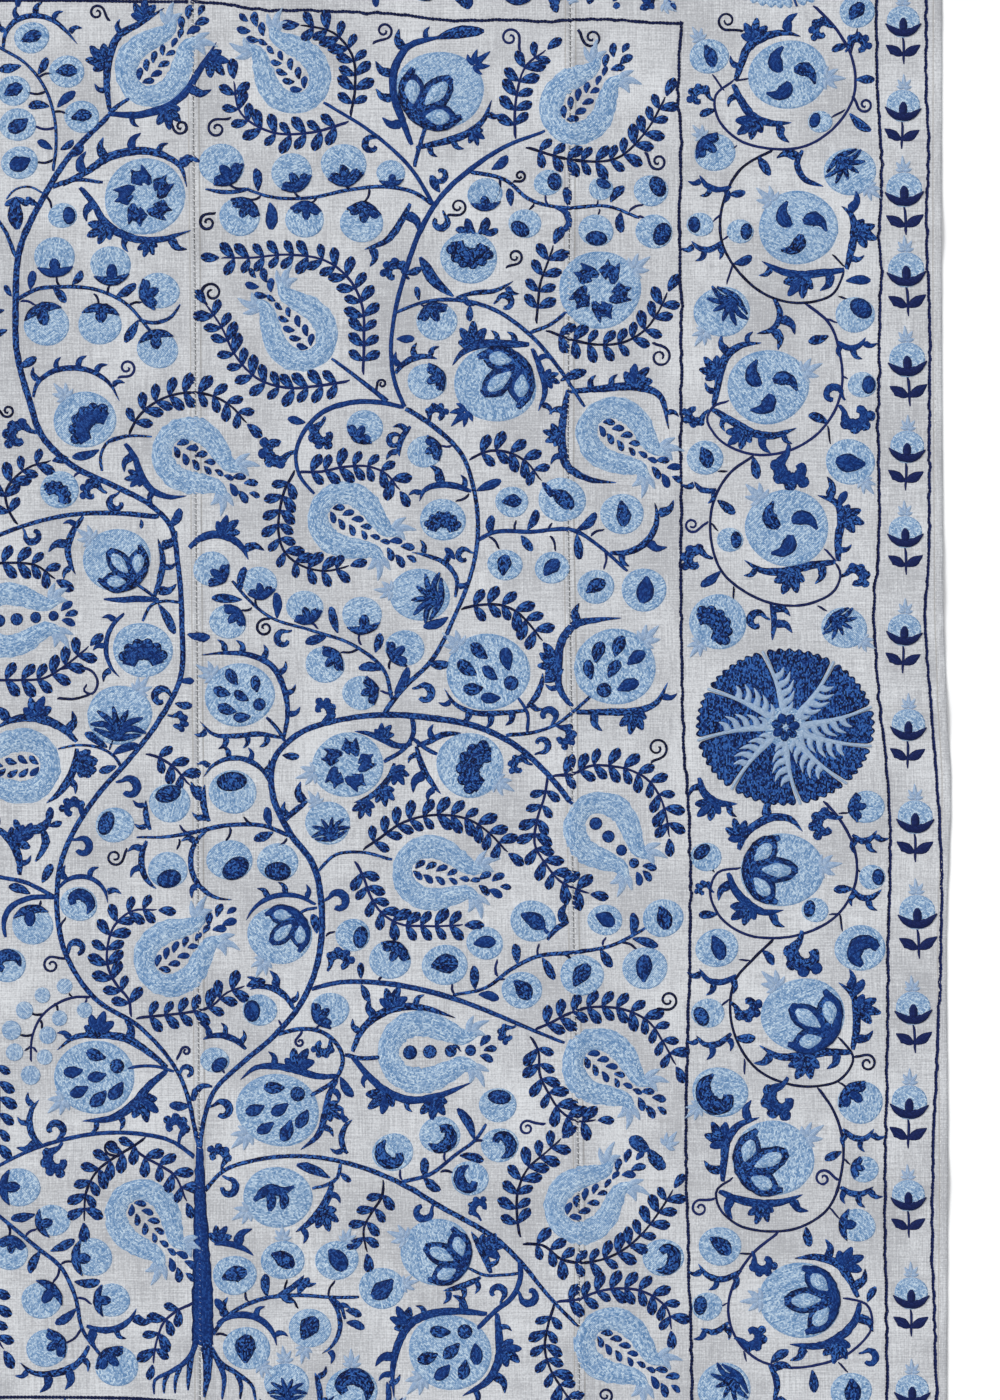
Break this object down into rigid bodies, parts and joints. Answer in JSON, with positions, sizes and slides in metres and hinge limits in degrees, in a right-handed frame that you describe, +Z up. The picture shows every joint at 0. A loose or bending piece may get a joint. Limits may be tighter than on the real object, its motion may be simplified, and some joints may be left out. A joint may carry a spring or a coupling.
{
  "type": "suzani embroidered textile",
  "caption": "Rectangular cotton hanging or bed cover of strips sewn edge to edge, hemmed, laid flat with soft fold creases and covered in blue pomegranate tree embroidery.",
  "frame": {"origin": "centre of the cloth's bounding box, on the surface it lies on", "axes": "+Y along the strips towards the head of the tree design, +X to the right of the design, +Z up out of the embroidered face"},
  "size_m": [1.5076, 1.904, 0.0059],
  "materials": {
    "cotton_ground": "matt plain-weave cotton, grey-white",
    "dark_blue_thread": "silky embroidery thread, royal blue",
    "light_blue_thread": "silky embroidery thread, sky blue",
    "outline_thread": "embroidery thread, near-black navy"
  },
  "bodies": {
    "root": {"cloth_strip_1": "cotton_ground", "cloth_strip_2": "cotton_ground", "cloth_strip_3": "cotton_ground", "cloth_strip_4": "cotton_ground"}
  },
  "joints": []
}
